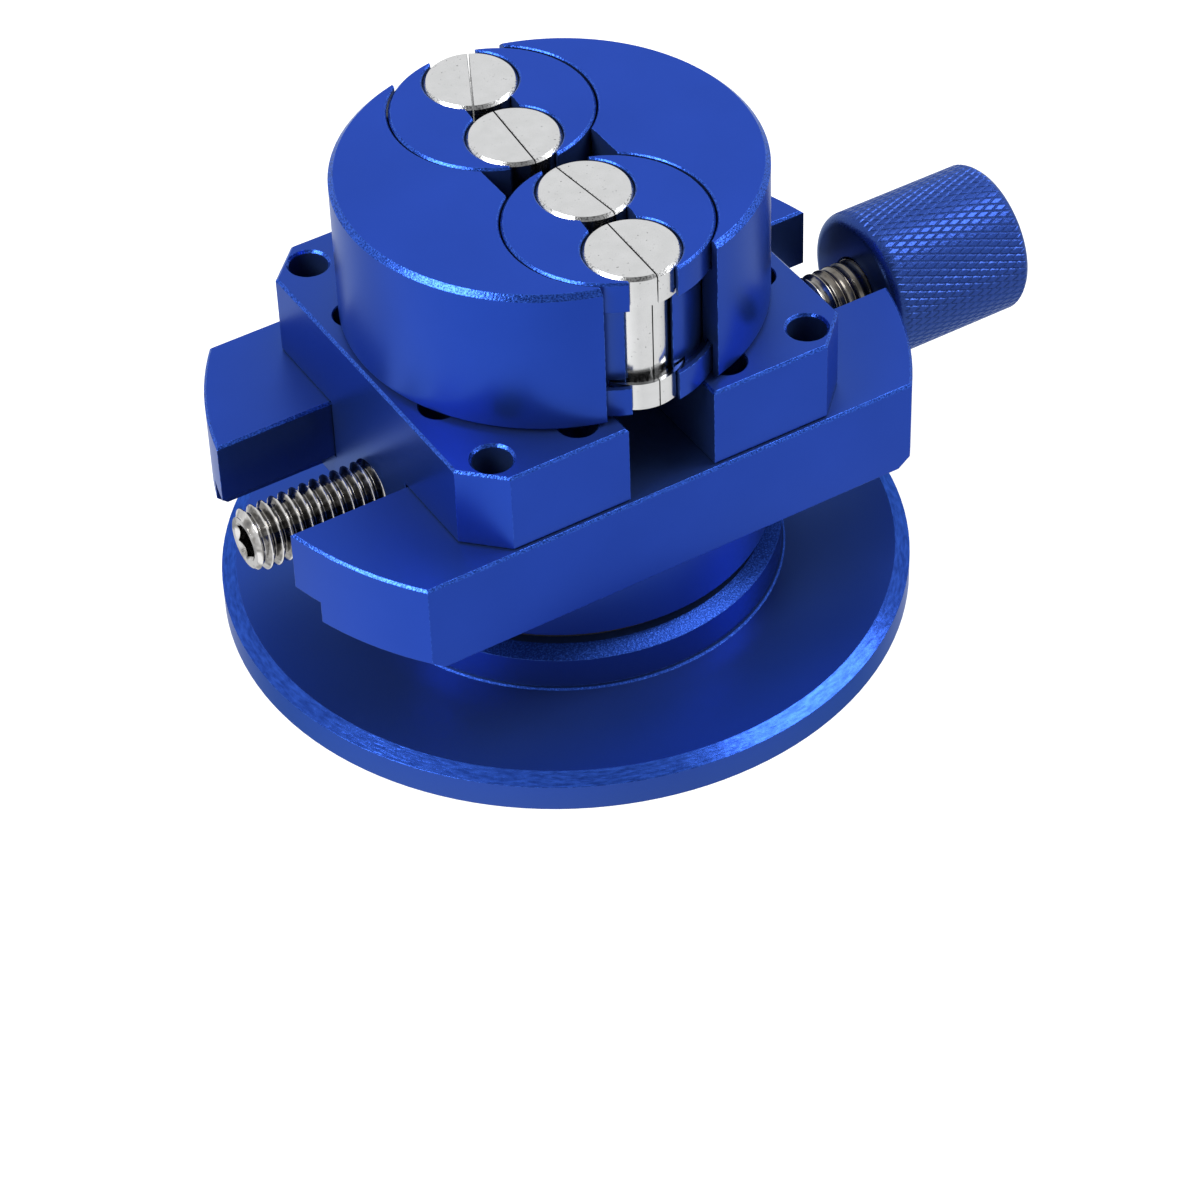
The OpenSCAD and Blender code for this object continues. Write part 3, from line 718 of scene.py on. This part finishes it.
MATERIALS = {
    "blue_anodised": blue_anodised("blue_anodised"),
    "pad_steel": pad_steel(),
    "bright_steel": bright_steel(),
    "dark_steel": dark_steel(),
    "black_plastic": black_plastic(),
}
BLUE_TURNED = blue_anodised("blue_turned", turned=True)
BLUE_KNOB = blue_anodised("blue_knurled", KNOB_DYE, tooled_slopes=False)

for part in frame["record"]["subparts"]:
    piece = frame["nodes"][part["node"]]
    piece.data.materials.clear()
    piece.data.materials.append(MATERIALS[part["material_slot"]])
frame["nodes"]["base_plate"].data.materials[0] = BLUE_TURNED

for made, node, slot, material in (
    (lead_screw(), "lead_screw", "bright_steel", MATERIALS["bright_steel"]),
    (knob(), "knob", "blue_anodised", BLUE_KNOB),
):
    made.data.materials.clear()
    made.data.materials.append(material)
    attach(made, "screw")
    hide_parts(node)


# Brightness of the surroundings below and above the horizon, and how far up they mix
BELOW, ABOVE = 0.95, 1.3
HORIZON = 0.08
# Soft round patches: azimuth, elevation, angle of the full part, outer angle, added brightness
PATCHES = [(247, 48, 14, 44, -0.95), (192, -42, 16, 50, 0.75), (290, -42, 14, 46, 0.4)]
# Lamps: azimuth, elevation, width and height as angles, radiance
LAMPS = {"key": (181, 42, 30, 28, 13), "fill": (343, 50, 26, 34, 9)}
LAMP_DISTANCE = 1.3
LAMP_TARGET = Vector((0, 0, 0.04))
FLOOR_RADIUS = 6.0
FLOOR_DROP = 0.02 * MM
FLOOR_GREY = (0.25, 0.25, 0.25, 1)
FLOOR_GLOW = 0.88
FLOOR_ROUGH = 0.9
FLOOR_COLUMNS = 96


def direction(azimuth, elevation):
    a, e = math.radians(azimuth), math.radians(elevation)
    return Vector((math.cos(a) * math.cos(e), math.sin(a) * math.cos(e), math.sin(e)))


def studio_world():
    """Even pale surroundings: one patch dimmer, two low ones brighter, and a floor below."""
    world = bpy.data.worlds.new("studio")
    world.use_nodes = True
    tree = world.node_tree
    tree.nodes.clear()
    look = add(tree, "ShaderNodeTexCoord").outputs["Generated"]
    level = spread(tree, part_of(tree, look, 2), BELOW, ABOVE, -HORIZON, HORIZON)
    for azimuth, elevation, inner, outer, strength in PATCHES:
        facing = add(
            tree, "ShaderNodeVectorMath",
            {0: look, 1: direction(azimuth, elevation)}, operation="DOT_PRODUCT",
        ).outputs["Value"]
        rim, core = (math.cos(math.radians(angle)) for angle in (outer, inner))
        patch = add(
            tree, "ShaderNodeMapRange", {0: facing, 1: rim, 2: core, 3: 0.0, 4: strength},
            interpolation_type="SMOOTHSTEP",
        ).outputs[0]
        level = combine(tree, "ADD", level, patch)
    background = add(
        tree, "ShaderNodeBackground", {"Color": (1, 1, 1, 1), "Strength": level}
    )
    output = add(tree, "ShaderNodeOutputWorld")
    tree.links.new(background.outputs[0], output.inputs[0])
    bpy.context.scene.world = world


def softbox(name, azimuth, elevation, across, high, radiance):
    """Rectangular lamp that faces the vise, given by its angles as seen from there."""
    light = bpy.data.lights.new(name, "AREA")
    light.shape = "RECTANGLE"
    light.size = 2 * LAMP_DISTANCE * math.tan(math.radians(across / 2))
    light.size_y = 2 * LAMP_DISTANCE * math.tan(math.radians(high / 2))
    light.energy = radiance * math.pi * light.size * light.size_y
    holder = bpy.data.objects.new(name, light)
    away = direction(azimuth, elevation)
    holder.location = LAMP_TARGET + away * LAMP_DISTANCE
    holder.rotation_mode = "QUATERNION"
    holder.rotation_quaternion = (-away).to_track_quat("-Z", "Y")
    holder.visible_camera = False
    bpy.context.scene.collection.objects.link(holder)


def studio_floor():
    """Pale seamless floor. Its own glow keeps the background white with a breath of shadow."""
    bm = bmesh.new()
    bmesh.ops.create_circle(bm, cap_ends=True, segments=FLOOR_COLUMNS, radius=FLOOR_RADIUS)
    mesh = bpy.data.meshes.new("studio_floor")
    bm.to_mesh(mesh)
    bm.free()
    holder = bpy.data.objects.new("studio_floor", mesh)
    holder.location.z = -FLOOR_DROP
    bpy.context.scene.collection.objects.link(holder)
    material = bpy.data.materials.new("pale_floor")
    material.use_nodes = True
    tree = material.node_tree
    tree.nodes.clear()
    shader = add(tree, "ShaderNodeBsdfPrincipled", {
        "Base Color": FLOOR_GREY, "Roughness": FLOOR_ROUGH, "Specular IOR Level": 0,
        "Emission Color": (1, 1, 1, 1), "Emission Strength": FLOOR_GLOW,
    })
    output = add(tree, "ShaderNodeOutputMaterial")
    tree.links.new(shader.outputs[0], output.inputs[0])
    mesh.materials.append(material)
    holder.visible_glossy = False


studio_world()
for lamp, settings in LAMPS.items():
    softbox(lamp, *settings)
studio_floor()

# Camera fitted to the photo: place in millimetres, directions, and lens
CAMERA_AT = Vector((-245.03, -428.18, 443.10))
RIGHT = Vector((0.84998, -0.52616, -0.02642))
UP = Vector((0.37170, 0.56342, 0.73783))
BACK = Vector((-0.37333, -0.63696, 0.67446))
LENS = 125.97
SENSOR = 36
NEAREST, FARTHEST = 0.02, 20

camera = bpy.data.objects.new("camera", bpy.data.cameras.new("camera"))
camera.data.lens = LENS
camera.data.sensor_width = SENSOR
camera.data.clip_start, camera.data.clip_end = NEAREST, FARTHEST
turned_to = Matrix((RIGHT, UP, BACK)).transposed().to_4x4()
camera.matrix_world = Matrix.Translation(CAMERA_AT * MM) @ turned_to
bpy.context.scene.collection.objects.link(camera)
bpy.context.scene.camera = camera
bpy.context.scene.view_settings.view_transform = "Standard"
